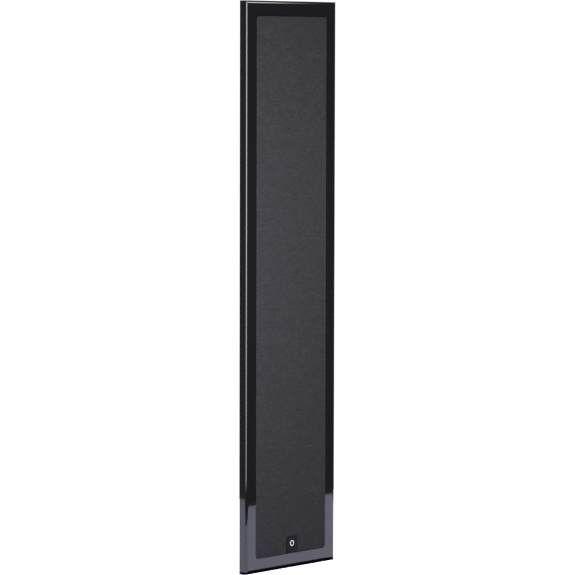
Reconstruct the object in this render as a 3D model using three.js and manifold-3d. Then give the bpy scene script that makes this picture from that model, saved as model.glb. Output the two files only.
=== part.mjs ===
// A slim speaker panel that hangs on a wall. Millimetres, +Z up, X to the right as seen by the listener.
// The wall is the plane y = 0 and the listener is on the -Y side. The origin is on the wall at mid height.

import * as THREE from 'three';
import { mergeVertices } from 'three/addons/utils/BufferGeometryUtils.js';
import Module from 'manifold-3d';

const wasm = await Module();
wasm.setup();

// ---------------------------------------------------------------- driving dimensions

const GAP = 0.3; // between two pieces that touch
const PAST = 1; // how far a cutter runs past the face that it cuts

// Panel outline
const HEIGHT = 650;
const WIDTH = 158;
const BORDER = { x: 17.5, z: 16.8 }; // bezel face, from the outer edge to the window
const BEVEL_WIDTH = 3;
const BEVEL_DEPTH = 0.86;
const WINDOW_CORNER = 4;

// Depths along Y
const BEZEL_FRONT = -39;
const LIP_BACK = -31.3; // back of the bezel's lip, which the baffle rests against
const BAFFLE_FRONT = LIP_BACK + GAP;
const BAFFLE_BACK = -28;
const BEZEL_BACK = -29;
const RIM_FRONT = -26.6; // rear shell's rim
const RIM_BACK = -25.5; // where the shell starts to taper
const SHELL_BACK = -3;
const WALL = 2.5; // wall thickness of the shell
const CAVITY_BACK = SHELL_BACK - WALL;

// Rear shell, half sizes of its rim and of its flat back
const RIM_HALF = { x: 74, z: 320 };
const BACK_HALF = { x: 45, z: 292 };

// Baffle
const BAFFLE_HALF = { x: 72, z: 318 };
const POCKET_CLEARANCE = 0.5;

// Drivers, all on the centre line
const WOOFER_Z = 121;
const PASSIVE_Z = 229;
const FLANGE_RADIUS = 52;
const FLANGE_FRONT = -33.5;
const SEAT_FRONT = -32.3; // recessed seat that the surround is glued to
const SEAT_BACK = -31;
const SEAT_RADIUS = 47;
const SEAT_INNER = 42.8;
const CAN_RADIUS = 44.6; // inside the basket's wall
const CUTOUT_RADIUS = 46.5;
const BASKET_RADIUS = 46;
const CONE_RADIUS = 37;
const COIL_RADIUS = 12.9;
const NECK_RADIUS = COIL_RADIUS + 0.7; // where the cone and the spider meet the coil
const MOTOR_RADIUS = 21;
const MOTOR_FRONT = -14.9;
const MOTOR_BACK = -6.3;

// Tweeter
const TWEETER_FACE = { x: 30, z: 66.5 };
const TWEETER_HOUSING = { x: 24, z: 48 };
const TWEETER_WINDOW = { x: 15, z: 32 };
const PLEATS = 10;

// Grille
const GRILLE_GAP = 0.4; // from the cloth's edge to the bezel's window
const GRILLE_CORNER = WINDOW_CORNER - GRILLE_GAP;
const CLOTH_FRONT = -39.8;
const CLOTH_THICKNESS = 0.6;
const RAIL_WIDTH = 5;
const RAIL_BACK = -31.6;
const CROSSBAR_BACK = -37.4;
const CROSSBAR_Z = [-175, -68, 68, 175];
const BADGE = { x: 9.25, height: 19.5, thickness: 0.9 };

// Back
const PAD = { x: 34, z: 270, radius: 7 };
const KEYHOLE_Z = 275;
const KEYHOLE_PLATE = { x: 23.7, z: 12.7, thickness: 1.5, corner: 2 };
const KEYHOLE = { entry: 5, slot: 2.5, rise: 8, drop: 4 }; // radii, slot height, entry's depth below centre
const CUP_TOP = -166;
const CUP_BOTTOM = -212;
const CUP_HALF_WIDTH = 28;
const CUP_FRONT = -20;
const CUP_WALL = 2;
const POST_X = 9.5; // half the spacing of the two posts
const POST_Y = -11;
const POST_RADIUS = 3;

// Inside
const DIVIDER_Z = 68;
const DIVIDER_THICKNESS = 3;
const LEAD_X = 50;
const LEAD_Y = -14;
const LEAD_RADIUS = 1.3;
const BOARD = { x: 44, bottom: -257, top: -217, front: -9.2, back: -7.6 };
const BOARD_POSTS = { x: 38, inset: 6, radius: 3 };

// Facets
const SIDES = 24; // round pieces
const FINE_SIDES = 28; // surrounds and cones

// ---------------------------------------------------------------- finishes

const finish = (color, roughness, metalness = 0) =>
  new THREE.MeshStandardMaterial({ color, roughness, metalness });

const GLOSS_BLACK = () => finish(0x1b1a1f, 0.08);
const CLOTH = () => finish(0x414045, 0.95);
const MATTE_BLACK = () => finish(0x1c1c1e, 0.6);
const SHELL_BLACK = () => finish(0x242426, 0.55);
const LEAD_GREY = () => finish(0x3a3733, 0.8);
const STEEL = () => finish(0x9a9c9f, 0.35, 0.9);
const ALUMINIUM = () => finish(0xb9bbbf, 0.35, 0.9);
const BRASS = () => finish(0xc2a05a, 0.3, 1);
const COPPER = () => finish(0xb46a3c, 0.4, 0.9);
const RUBBER = () => finish(0x151515, 0.85);
const PAPER_BLACK = () => finish(0x202022, 0.7);
const RED_PLASTIC = () => finish(0x8e1c1c, 0.4);
const RESIN_GREEN = () => finish(0x2c5a3a, 0.5);
const FOIL = () => finish(0xb7a06a, 0.4, 0.4);
const SPIDER_TAN = () => finish(0xb08a4c, 0.85);
const CERAMIC = () => finish(0xcfcabd, 0.8);
const FILM_YELLOW = () => finish(0xc9b04a, 0.4);

// ---------------------------------------------------------------- closed geometry and booleans

// Welds a geometry's corners, drops its collapsed triangles and turns its faces outwards.
function weld(geometry) {
  const bare = geometry.clone();
  bare.deleteAttribute('normal');
  bare.deleteAttribute('uv');
  const merged = mergeVertices(bare, 1e-4);
  const corners = merged.getAttribute('position');
  const kept = [];
  let volume = 0;
  const [a, b, c] = [new THREE.Vector3(), new THREE.Vector3(), new THREE.Vector3()];
  for (let i = 0; i < merged.index.count; i += 3) {
    const [p, q, r] = [0, 1, 2].map((k) => merged.index.getX(i + k));
    if (p === q || q === r || r === p) continue;
    kept.push([p, q, r]);
    a.fromBufferAttribute(corners, p);
    b.fromBufferAttribute(corners, q);
    c.fromBufferAttribute(corners, r);
    volume += a.dot(b.cross(c));
  }
  merged.setIndex((volume < 0 ? kept.map(([p, q, r]) => [p, r, q]) : kept).flat());
  return merged;
}

function solid(geometry) {
  const closed = weld(geometry);
  const vertProperties = new Float32Array(closed.getAttribute('position').array);
  const triVerts = new Uint32Array(closed.index.array);
  return new wasm.Manifold(new wasm.Mesh({ numProp: 3, vertProperties, triVerts }));
}

function geometryOf(manifold) {
  const { vertProperties, triVerts } = manifold.getMesh();
  const geometry = new THREE.BufferGeometry();
  geometry.setAttribute('position', new THREE.BufferAttribute(new Float32Array(vertProperties), 3));
  geometry.setIndex(Array.from(triVerts));
  return geometry;
}

function cut(geometry, tools) {
  return geometryOf(tools.reduce((rest, tool) => rest.subtract(solid(tool)), solid(geometry)));
}

function join(geometries) {
  const [first, ...others] = geometries.map(solid);
  return geometryOf(others.reduce((sum, other) => sum.add(other), first));
}

// ---------------------------------------------------------------- basic shapes

function box([x0, x1], [y0, y1], [z0, z1]) {
  const geometry = new THREE.BoxGeometry(x1 - x0, y1 - y0, z1 - z0);
  return geometry.translate((x0 + x1) / 2, (y0 + y1) / 2, (z0 + z1) / 2);
}

const centred = (half) => [-half, half];

// Rectangles { y, x, z } of half sizes x and z, stacked along Y and joined by flat walls.
function rectangleLoft(sections) {
  const corners = sections.flatMap(({ y, x, z }) => [[-x, y, -z], [x, y, -z], [x, y, z], [-x, y, z]]);
  const faces = [[0, 1, 2], [0, 2, 3]];
  const last = 4 * (sections.length - 1);
  faces.push([last, last + 2, last + 1], [last, last + 3, last + 2]);
  for (let level = 0; level < last; level += 4) {
    for (let side = 0; side < 4; side += 1) {
      const [p, q] = [level + side, level + ((side + 1) % 4)];
      faces.push([p, p + 4, q], [q, p + 4, q + 4]);
    }
  }
  const geometry = new THREE.BufferGeometry();
  geometry.setAttribute('position', new THREE.Float32BufferAttribute(corners.flat(), 3));
  geometry.setIndex(faces.flat());
  return geometry;
}

// A rectangle with round corners in the X-Z plane, as a shape or as a hole's path.
function roundedRectangle(halfX, halfZ, radius, centreZ = 0, path = new THREE.Shape()) {
  const [x, z] = [halfX - radius, halfZ - radius];
  path.absarc(x, centreZ + z, radius, 0, Math.PI / 2);
  path.absarc(-x, centreZ + z, radius, Math.PI / 2, Math.PI);
  path.absarc(-x, centreZ - z, radius, Math.PI, 1.5 * Math.PI);
  path.absarc(x, centreZ - z, radius, 1.5 * Math.PI, 2 * Math.PI);
  path.closePath();
  return path;
}

function circle(radius, x = 0, z = 0, path = new THREE.Path()) {
  path.absarc(x, z, radius, 0, 2 * Math.PI);
  return path;
}

// Extrudes a shape drawn in the X-Z plane from one depth to another.
function slab(shape, [front, back], curveSegments = 4) {
  const options = { depth: back - front, bevelEnabled: false, curveSegments };
  return new THREE.ExtrudeGeometry(shape, options).rotateX(Math.PI / 2).translate(0, back, 0);
}

// Turns a closed outline of [radius, y] points about the Y axis.
function turned(outline, sides = SIDES) {
  const points = [...outline, outline[0]].map(([radius, y]) => new THREE.Vector2(radius, y));
  return new THREE.LatheGeometry(points, sides);
}

// A round bar along Y.
function discY(radius, [front, back], x = 0, z = 0, sides = SIDES) {
  const geometry = new THREE.CylinderGeometry(radius, radius, back - front, sides);
  return geometry.translate(x, (front + back) / 2, z);
}

// A round bar along Z, centred on its own middle.
function barZ(radius, length, sides = SIDES) {
  return new THREE.CylinderGeometry(radius, radius, length, sides).rotateX(Math.PI / 2);
}

// A round wire along a smooth curve through the points.
function wire(points, radius, steps) {
  const knots = points.map((p) => new THREE.Vector3(...p));
  const curve = new THREE.CatmullRomCurve3(knots, false, 'centripetal');
  const section = circle(radius, 0, 0, new THREE.Shape());
  return new THREE.ExtrudeGeometry(section, { steps, extrudePath: curve, curveSegments: 4 });
}

// ---------------------------------------------------------------- cabinet

function frontBezel() {
  const half = { x: WIDTH / 2, z: HEIGHT / 2 };
  const outer = rectangleLoft([
    { y: BEZEL_FRONT, x: half.x - BEVEL_WIDTH, z: half.z - BEVEL_WIDTH },
    { y: BEZEL_FRONT + BEVEL_DEPTH, ...half },
    { y: BEZEL_BACK, ...half },
  ]);
  const windowShape = roundedRectangle(half.x - BORDER.x, half.z - BORDER.z, WINDOW_CORNER);
  const windowCut = slab(windowShape, [BEZEL_FRONT - PAST, BEZEL_BACK + PAST]);
  const pocket = box(
    centred(BAFFLE_HALF.x + POCKET_CLEARANCE),
    [LIP_BACK, BEZEL_BACK + PAST],
    centred(BAFFLE_HALF.z + POCKET_CLEARANCE),
  );
  return cut(outer, [windowCut, pocket]);
}

function baffle() {
  const plate = box(centred(BAFFLE_HALF.x), [BAFFLE_FRONT, BAFFLE_BACK], centred(BAFFLE_HALF.z));
  const depth = [BAFFLE_FRONT - PAST, BAFFLE_BACK + PAST];
  const driverZ = [-PASSIVE_Z, -WOOFER_Z, WOOFER_Z, PASSIVE_Z];
  const driverHoles = driverZ.map((z) => discY(CUTOUT_RADIUS, depth, 0, z));
  const tweeterHole = box(
    centred(TWEETER_HOUSING.x + POCKET_CLEARANCE),
    depth,
    centred(TWEETER_HOUSING.z + POCKET_CLEARANCE),
  );
  return cut(plate, [...driverHoles, tweeterHole]);
}

// Half sizes of the rear shell at a depth, outside or inside its wall.
const TAPER = {
  x: (RIM_HALF.x - BACK_HALF.x) / (SHELL_BACK - RIM_BACK),
  z: (RIM_HALF.z - BACK_HALF.z) / (SHELL_BACK - RIM_BACK),
};

function shellSection(y, inside) {
  const run = Math.min(SHELL_BACK - y, SHELL_BACK - RIM_BACK);
  const half = (axis) => {
    const inset = inside ? WALL * Math.hypot(1, TAPER[axis]) : 0;
    return BACK_HALF[axis] + TAPER[axis] * run - inset;
  };
  return { y, x: half('x'), z: half('z') };
}

// A boss on the shell with a shallow rebate for the plate and a deeper cavity for a screw's head.
function keyholePocket(z) {
  const rebate = { x: KEYHOLE_PLATE.x + GAP, z: KEYHOLE_PLATE.z + GAP };
  const cavity = { x: 18, z: 9 };
  const plateSeat = SHELL_BACK - GAP - KEYHOLE_PLATE.thickness - GAP;
  const [floor, wall] = [-11, 2];
  return {
    boss: box(
      centred(rebate.x + wall),
      [floor - wall, SHELL_BACK],
      [z - rebate.z - wall, z + rebate.z + wall],
    ),
    cuts: [
      box(centred(rebate.x), [plateSeat, SHELL_BACK + PAST], [z - rebate.z, z + rebate.z]),
      box(centred(cavity.x), [floor, SHELL_BACK + PAST], [z - cavity.z, z + cavity.z]),
    ],
  };
}

const boardPostPlaces = [-1, 1].flatMap((side) =>
  [BOARD.bottom + BOARD_POSTS.inset, BOARD.top - BOARD_POSTS.inset].map((z) => [side * BOARD_POSTS.x, z]));

function rearShell() {
  const outer = rectangleLoft([RIM_FRONT, RIM_BACK, SHELL_BACK].map((y) => shellSection(y, false)));
  const cavity = rectangleLoft([RIM_FRONT - PAST, RIM_BACK, CAVITY_BACK].map((y) => shellSection(y, true)));
  const shell = cut(outer, [cavity]);
  const pockets = [-KEYHOLE_Z, KEYHOLE_Z].map(keyholePocket);
  const posts = boardPostPlaces.map(([x, z]) =>
    discY(BOARD_POSTS.radius, [BOARD.back + GAP, SHELL_BACK - WALL / 2], x, z, 12));
  const cupHole = box(
    centred(CUP_HALF_WIDTH + GAP),
    [CAVITY_BACK - PAST, SHELL_BACK + PAST],
    [CUP_BOTTOM - GAP, CUP_TOP + GAP],
  );
  const withBosses = join([shell, ...pockets.map((p) => p.boss), ...posts]);
  return cut(withBosses, [...pockets.flatMap((p) => p.cuts), cupHole]);
}

function shellGasket() {
  const inset = 0.5; // from both faces of the shell's wall
  const [front, back] = [BAFFLE_BACK + GAP, RIM_FRONT - GAP];
  const inner = shellSection(RIM_FRONT, true);
  const ring = box(centred(RIM_HALF.x - inset), [front, back], centred(RIM_HALF.z - inset));
  const hole = box(centred(inner.x + inset), [front - PAST, back + PAST], centred(inner.z + inset));
  return cut(ring, [hole]);
}

// A wall across the cabinet that follows the taper inside the shell, with one hole for each lead.
function chamberDivider(centreZ, leadSides) {
  const sections = [BAFFLE_BACK + GAP, RIM_BACK, CAVITY_BACK - GAP].map((y) => {
    const { x } = shellSection(y, true);
    return { y, x: x - GAP, z: DIVIDER_THICKNESS / 2 };
  });
  const clearance = 1;
  const holes = leadSides.map((side) =>
    barZ(LEAD_RADIUS + clearance, DIVIDER_THICKNESS + 2 * PAST, 12).translate(side * LEAD_X, LEAD_Y, 0));
  return cut(rectangleLoft(sections), holes).translate(0, 0, centreZ);
}

// The keyhole is a round entry with a narrow slot above it.
function keyholePlate(z) {
  const plate = roundedRectangle(KEYHOLE_PLATE.x, KEYHOLE_PLATE.z, KEYHOLE_PLATE.corner, z);
  const { entry, slot, rise, drop } = KEYHOLE;
  const low = z - drop;
  const start = Math.asin(slot / entry);
  const keyhole = new THREE.Path();
  keyhole.absarc(0, low, entry, Math.PI / 2 + start, 2.5 * Math.PI - start);
  keyhole.absarc(0, low + rise, slot, 0, Math.PI);
  keyhole.closePath();
  plate.holes.push(keyhole);
  const back = SHELL_BACK - GAP;
  return slab(plate, [back - KEYHOLE_PLATE.thickness, back], 5);
}

// ---------------------------------------------------------------- terminals

function terminalCup() {
  const flange = { front: SHELL_BACK + GAP, back: SHELL_BACK + GAP + 1.5, overlap: 4 };
  const body = box(centred(CUP_HALF_WIDTH), [CUP_FRONT, flange.back], [CUP_BOTTOM, CUP_TOP]);
  const plate = box(
    centred(CUP_HALF_WIDTH + flange.overlap),
    [flange.front, flange.back],
    [CUP_BOTTOM - flange.overlap, CUP_TOP + flange.overlap],
  );
  const recess = box(
    centred(CUP_HALF_WIDTH - CUP_WALL),
    [CUP_FRONT + CUP_WALL, flange.back + PAST],
    [CUP_BOTTOM + CUP_WALL, CUP_TOP - CUP_WALL],
  );
  const studHoles = [-1, 1].map((side) =>
    barZ(POST_RADIUS + GAP, CUP_WALL + 2 * PAST).translate(side * POST_X, POST_Y, CUP_TOP - CUP_WALL / 2));
  return cut(join([body, plate]), [recess, ...studHoles]);
}

// Outlines of a binding post's pieces, [radius, height]. The post hangs down from the cup's top wall.
const CUP_CEILING = CUP_TOP - CUP_WALL;
const SHOULDER_BOTTOM = CUP_CEILING - GAP - 2;
const WASHER_TOP = SHOULDER_BOTTOM - GAP;
const WASHER_BOTTOM = WASHER_TOP - 1.4;
const KNOB_TOP = WASHER_BOTTOM - GAP;
const KNOB_BOTTOM = KNOB_TOP - 17;
const STUD_TOP = CUP_TOP + 6; // inside the cabinet
const STUD_BOTTOM = KNOB_BOTTOM - 3;
const SHOULDER_RADIUS = 5.5;
const WASHER_RADIUS = 5.8;
const KNOB_RADIUS = 6.3;

function postPiece(outline, sides = 20) {
  return turned(outline, sides).rotateX(Math.PI / 2);
}

const postStud = () => postPiece([
  [0, STUD_TOP], [POST_RADIUS, STUD_TOP], [POST_RADIUS, CUP_CEILING - GAP],
  [SHOULDER_RADIUS, CUP_CEILING - GAP], [SHOULDER_RADIUS, SHOULDER_BOTTOM], [POST_RADIUS, SHOULDER_BOTTOM],
  [POST_RADIUS, STUD_BOTTOM], [0, STUD_BOTTOM],
]);

const clampWasher = () => postPiece([
  [POST_RADIUS + GAP, WASHER_TOP], [WASHER_RADIUS, WASHER_TOP],
  [WASHER_RADIUS, WASHER_BOTTOM], [POST_RADIUS + GAP, WASHER_BOTTOM],
]);

// The knob has a chamfered end, and flutes along its grip.
function postKnob() {
  const chamfer = { x: 1, z: 1.5 };
  const knob = postPiece([
    [POST_RADIUS + GAP, KNOB_TOP], [KNOB_RADIUS, KNOB_TOP], [KNOB_RADIUS, KNOB_BOTTOM + chamfer.z],
    [KNOB_RADIUS - chamfer.x, KNOB_BOTTOM], [POST_RADIUS + GAP, KNOB_BOTTOM],
  ]);
  const flute = { count: 8, radius: 0.9, length: 13, out: KNOB_RADIUS + 0.3 };
  const flutes = Array.from({ length: flute.count }, (_, i) => {
    const angle = (2 * Math.PI * i) / flute.count;
    const [x, y] = [flute.out * Math.cos(angle), flute.out * Math.sin(angle)];
    return barZ(flute.radius, flute.length, 4).translate(x, y, (KNOB_TOP + KNOB_BOTTOM) / 2);
  });
  return cut(knob, flutes);
}

// ---------------------------------------------------------------- woofer

// The flange, with its recessed seat, that a woofer's basket and a passive radiator's frame share.
const flangeOutline = [
  [SEAT_INNER, SEAT_FRONT], [SEAT_RADIUS, SEAT_FRONT], [SEAT_RADIUS, FLANGE_FRONT],
  [FLANGE_RADIUS, FLANGE_FRONT], [FLANGE_RADIUS, LIP_BACK], [BASKET_RADIUS, LIP_BACK],
];

const BASKET_FLOOR = { front: -16.4, back: -15.2, hole: 15.5, radius: 34 };
const BASKET_LEGS = { count: 6, halfWidth: 9 };
const VENT = { reach: [30, 50], depth: [-26, -18.6] };

// Between its legs the basket is open, so that air can leave the back of the cone.
function wooferBasket() {
  const { front, back, hole, radius } = BASKET_FLOOR;
  const wall = back - front;
  const basket = turned([
    ...flangeOutline, [radius, back], [hole, back], [hole, front], [radius - wall, front],
    [CAN_RADIUS, SEAT_BACK], [SEAT_INNER, SEAT_BACK],
  ]);
  const { count, halfWidth } = BASKET_LEGS;
  const ventHalf = BASKET_RADIUS * Math.sin(Math.PI / count) - halfWidth;
  const vents = Array.from({ length: count }, (_, i) => {
    const opening = box(VENT.reach, VENT.depth, centred(ventHalf));
    return opening.rotateY((2 * Math.PI * (i + 0.5)) / count);
  });
  return cut(basket, vents);
}

const CUP_BORE = COIL_RADIUS + 1.3; // the motor cup's inner radius
const CUP_FLOOR = MOTOR_BACK - 1.2;

const motorCup = () => turned([
  [0, MOTOR_BACK], [MOTOR_RADIUS, MOTOR_BACK], [MOTOR_RADIUS, MOTOR_FRONT],
  [CUP_BORE, MOTOR_FRONT], [CUP_BORE, CUP_FLOOR], [0, CUP_FLOOR],
]);

const magnetSlug = () => discY(COIL_RADIUS - 0.7, [MOTOR_FRONT - 0.7, CUP_FLOOR - GAP]);

function voiceCoil() {
  const [inner, outer] = [COIL_RADIUS, COIL_RADIUS + 0.4];
  const [front, back] = [-25, -10.6];
  return turned([[inner, front], [outer, front], [outer, back], [inner, back]]);
}

// A thin sheet turned about Y: its front line runs outwards and its back line returns.
function turnedSheet(line, thickness, sides) {
  const back = line.map(([radius, y]) => [radius, y + thickness]).reverse();
  return turned([...line, ...back], sides);
}

// The spider runs from the coil out to a land that is glued to the basket's floor.
function spider() {
  const [inner, landInner, landOuter] = [NECK_RADIUS, 28, 31.5];
  const [start, land] = [-20, -17.1];
  const [waves, wave] = [2, 0.7];
  const line = Array.from({ length: 2 * waves + 1 }, (_, i) => {
    const t = i / (2 * waves);
    const ripple = i % 2 ? wave : 0;
    return [inner + (landInner - inner) * t, start + (land - start) * t - ripple];
  });
  return turnedSheet([...line, [landOuter, land]], 0.4, SIDES);
}

// Half roll between the cone's edge and the flange's seat.
function surround() {
  const [inner, outer, crest, steps] = [CONE_RADIUS + GAP, 43.6, 1.6, 4];
  const front = SEAT_FRONT - 0.8;
  const roll = Array.from({ length: steps + 1 }, (_, i) => {
    const t = i / steps;
    return [inner + (outer - inner) * t, front - crest * Math.sin(Math.PI * t)];
  });
  return turnedSheet([...roll, [SEAT_RADIUS - 0.4, front]], 0.5, FINE_SIDES);
}

const wooferCone = () =>
  turnedSheet([[NECK_RADIUS, -24.8], [25, -28.9], [CONE_RADIUS, -32.6]], 0.7, FINE_SIDES);

function dustCap() {
  const [radius, edge, rise, steps] = [16.3, -26.3, 3.2, 3];
  const dome = Array.from({ length: steps + 1 }, (_, i) => {
    const angle = (Math.PI / 2) * (i / steps);
    return [radius * Math.sin(angle), edge - rise * Math.cos(angle)];
  });
  return turnedSheet(dome, 0.4, SIDES);
}

// ---------------------------------------------------------------- passive radiator

function passiveFrame() {
  const [inside, back] = [44.4, -25.5];
  return turned([
    ...flangeOutline, [BASKET_RADIUS, back], [inside, back], [inside, SEAT_BACK], [SEAT_INNER, SEAT_BACK],
  ]);
}

// A shallow dish: its middle lies 1.2 behind its rim.
function passivePlate() {
  const [middle, rim, thickness] = [-31.6, -32.8, 0.8];
  const [dish, slope] = [29, 33];
  return turned([
    [0, middle], [dish, middle], [slope, rim], [CONE_RADIUS, rim], [CONE_RADIUS, rim + thickness],
    [slope + 0.3, rim + thickness], [dish + 0.3, middle + thickness], [0, middle + thickness],
  ], FINE_SIDES);
}

const passiveMass = () => discY(15, [-30.5, -26.5]);

// ---------------------------------------------------------------- tweeter

function tweeterFaceplate() {
  const face = roundedRectangle(TWEETER_FACE.x, TWEETER_FACE.z, 3);
  face.holes.push(roundedRectangle(TWEETER_WINDOW.x, TWEETER_WINDOW.z, 4, 0, new THREE.Path()));
  return slab(face, [FLANGE_FRONT, LIP_BACK]);
}

// A pleated strip: the folds run up and down and each is a V seen from above.
function tweeterDiaphragm() {
  const [half, front, back, thickness] = [13, -30, -26, 0.5];
  const folds = Array.from({ length: 2 * PLEATS + 1 }, (_, i) =>
    [-half + (2 * half * i) / (2 * PLEATS), i % 2 ? back : front]);
  const outline = [...folds, ...folds.map(([x, y]) => [x, y + thickness]).reverse()];
  const shape = new THREE.Shape(outline.map(([x, y]) => new THREE.Vector2(x, y)));
  const height = 2 * TWEETER_WINDOW.z - 4;
  const strip = new THREE.ExtrudeGeometry(shape, { depth: height, bevelEnabled: false });
  return strip.translate(0, 0, -height / 2);
}

const HOUSING_BACK = -13.5;

function tweeterHousing() {
  const wellFloor = -24;
  const slot = { pitch: 5, half: 1.3 };
  const block = box(centred(TWEETER_HOUSING.x), [LIP_BACK + GAP, HOUSING_BACK], centred(TWEETER_HOUSING.z));
  const well = box(centred(TWEETER_WINDOW.x), [LIP_BACK - PAST, wellFloor], centred(TWEETER_WINDOW.z));
  const slots = [-2, -1, 0, 1, 2].map((i) =>
    box(
      [slot.pitch * i - slot.half, slot.pitch * i + slot.half],
      [wellFloor - PAST, HOUSING_BACK + PAST],
      centred(TWEETER_WINDOW.z - 4),
    ));
  return cut(block, [well, ...slots]);
}

function tweeterRearCup() {
  const [back, wall] = [-7, 1.5];
  const outer = { x: TWEETER_HOUSING.x - 2, z: TWEETER_HOUSING.z - 2 };
  const body = box(centred(outer.x), [HOUSING_BACK + GAP, back], centred(outer.z));
  const hollow = box(centred(outer.x - wall), [HOUSING_BACK - PAST, back - wall], centred(outer.z - wall));
  return cut(body, [hollow]);
}

// ---------------------------------------------------------------- crossover

const PARTS_BACK = BOARD.front - GAP; // the components stand on the board's front

function coil(inner, outer, height) {
  const front = PARTS_BACK - height;
  return turned([[inner, front], [outer, front], [outer, PARTS_BACK], [inner, PARTS_BACK]]);
}

const capacitor = (radius, length) =>
  barZ(radius, length).rotateY(Math.PI / 2).translate(0, PARTS_BACK - radius, 0);

const crossoverBoard = () => box(centred(BOARD.x), [BOARD.front, BOARD.back], [BOARD.bottom, BOARD.top]);

const LEAD_START = BOARD.front - GAP - LEAD_RADIUS;

// From a post's inner end, past the cup's side, to the board.
const inputLead = (side) => wire([
  [side * POST_X, POST_Y, STUD_TOP + GAP + LEAD_RADIUS],
  [side * 24, POST_Y, -159], [side * 33, POST_Y - 1, -168], [side * 33, POST_Y - 1, -205],
  [side * 33, LEAD_START, BOARD.top - 3],
], LEAD_RADIUS, 14);

const tweeterLead = () => wire([
  [-41, LEAD_START, BOARD.top - 4], [-46, -13, -205], [-LEAD_X, LEAD_Y, -185], [-LEAD_X, LEAD_Y, -76],
  [-LEAD_X, LEAD_Y, -60], [-42, LEAD_Y - 2, -42], [-TWEETER_HOUSING.x - GAP - 0.5, -18, -34],
], LEAD_RADIUS, 28);

const wooferLead = () => wire([
  [41, LEAD_START, BOARD.top - 4], [46, -13, -205], [LEAD_X, LEAD_Y, -185], [LEAD_X, LEAD_Y, -76],
  [LEAD_X, LEAD_Y, -60], [LEAD_X, LEAD_Y, 60], [LEAD_X, LEAD_Y, 76], [46, -16, 100], [41, -18, 112],
], LEAD_RADIUS, 44);

// ---------------------------------------------------------------- grille

const CLOTH_HALF = { x: WIDTH / 2 - BORDER.x - GRILLE_GAP, z: HEIGHT / 2 - BORDER.z - GRILLE_GAP };

function grilleCloth() {
  const outline = roundedRectangle(CLOTH_HALF.x, CLOTH_HALF.z, GRILLE_CORNER);
  return slab(outline, [CLOTH_FRONT, CLOTH_FRONT + CLOTH_THICKNESS]);
}

function grilleFrame() {
  const front = CLOTH_FRONT + CLOTH_THICKNESS + GAP;
  const half = { x: CLOTH_HALF.x - GAP, z: CLOTH_HALF.z - GAP };
  const ring = roundedRectangle(half.x, half.z, GRILLE_CORNER);
  const inner = { x: half.x - RAIL_WIDTH, z: half.z - RAIL_WIDTH };
  ring.holes.push(roundedRectangle(inner.x, inner.z, 1, 0, new THREE.Path()));
  const barHalf = 1.5;
  const bars = CROSSBAR_Z.map((z) =>
    box(centred(inner.x + PAST), [front, CROSSBAR_BACK], [z - barHalf, z + barHalf]));
  return join([slab(ring, [front, RAIL_BACK]), ...bars]);
}

function badgePlate() {
  const bottom = -CLOTH_HALF.z;
  const back = CLOTH_FRONT - GAP;
  return box(centred(BADGE.x), [back - BADGE.thickness, back], [bottom, bottom + BADGE.height]);
}

// ---------------------------------------------------------------- assembly

const speaker = new THREE.Group();

function add(name, geometry, material, { x = 0, z = 0, into = speaker } = {}) {
  const closed = weld(geometry);
  closed.computeVertexNormals();
  const mesh = new THREE.Mesh(closed, material);
  mesh.name = name;
  mesh.position.set(x, 0, z);
  into.add(mesh);
}

function placed(z) {
  const group = new THREE.Group();
  group.position.z = z;
  speaker.add(group);
  return group;
}

const LEVELS = { upper: 1, lower: -1 };
const SIDE_SIGNS = { left: -1, right: 1 };

add('front_bezel', frontBezel(), GLOSS_BLACK());
add('baffle', baffle(), MATTE_BLACK());
add('rear_shell', rearShell(), SHELL_BLACK());
add('shell_gasket', shellGasket(), RUBBER());
add('chamber_divider_upper', chamberDivider(DIVIDER_Z, [1]), SHELL_BLACK());
add('chamber_divider_lower', chamberDivider(-DIVIDER_Z, [-1, 1]), SHELL_BLACK());

for (const [level, sign] of Object.entries(LEVELS)) {
  add(`keyhole_plate_${level}`, keyholePlate(sign * KEYHOLE_Z), STEEL());
  for (const [side, sideSign] of Object.entries(SIDE_SIGNS)) {
    const place = { x: sideSign * PAD.x, z: sign * PAD.z };
    add(`wall_pad_${level}_${side}`, discY(PAD.radius, [SHELL_BACK + GAP, 0]), RUBBER(), place);
  }
}

add('terminal_cup', terminalCup(), SHELL_BLACK());
for (const [name, sign, plastic] of [['red', 1, RED_PLASTIC], ['black', -1, MATTE_BLACK]]) {
  const post = new THREE.Group();
  post.position.set(sign * POST_X, POST_Y, 0);
  speaker.add(post);
  add(`post_stud_${name}`, postStud(), BRASS(), { into: post });
  add(`clamp_washer_${name}`, clampWasher(), BRASS(), { into: post });
  add(`post_knob_${name}`, postKnob(), plastic(), { into: post });
  add(`input_lead_${name}`, inputLead(sign), plastic());
}

for (const [level, sign] of Object.entries(LEVELS)) {
  const woofer = placed(sign * WOOFER_Z);
  add(`woofer_basket_${level}`, wooferBasket(), MATTE_BLACK(), { into: woofer });
  add(`motor_cup_${level}`, motorCup(), STEEL(), { into: woofer });
  add(`magnet_slug_${level}`, magnetSlug(), STEEL(), { into: woofer });
  add(`spider_${level}`, spider(), SPIDER_TAN(), { into: woofer });
  add(`woofer_surround_${level}`, surround(), RUBBER(), { into: woofer });
  add(`woofer_cone_${level}`, wooferCone(), ALUMINIUM(), { into: woofer });
  add(`dust_cap_${level}`, dustCap(), PAPER_BLACK(), { into: woofer });
  add(`voice_coil_${level}`, voiceCoil(), COPPER(), { into: woofer });

  const passive = placed(sign * PASSIVE_Z);
  add(`passive_frame_${level}`, passiveFrame(), MATTE_BLACK(), { into: passive });
  add(`passive_surround_${level}`, surround(), RUBBER(), { into: passive });
  add(`passive_plate_${level}`, passivePlate(), ALUMINIUM(), { into: passive });
  add(`passive_mass_${level}`, passiveMass(), STEEL(), { into: passive });
}

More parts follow.
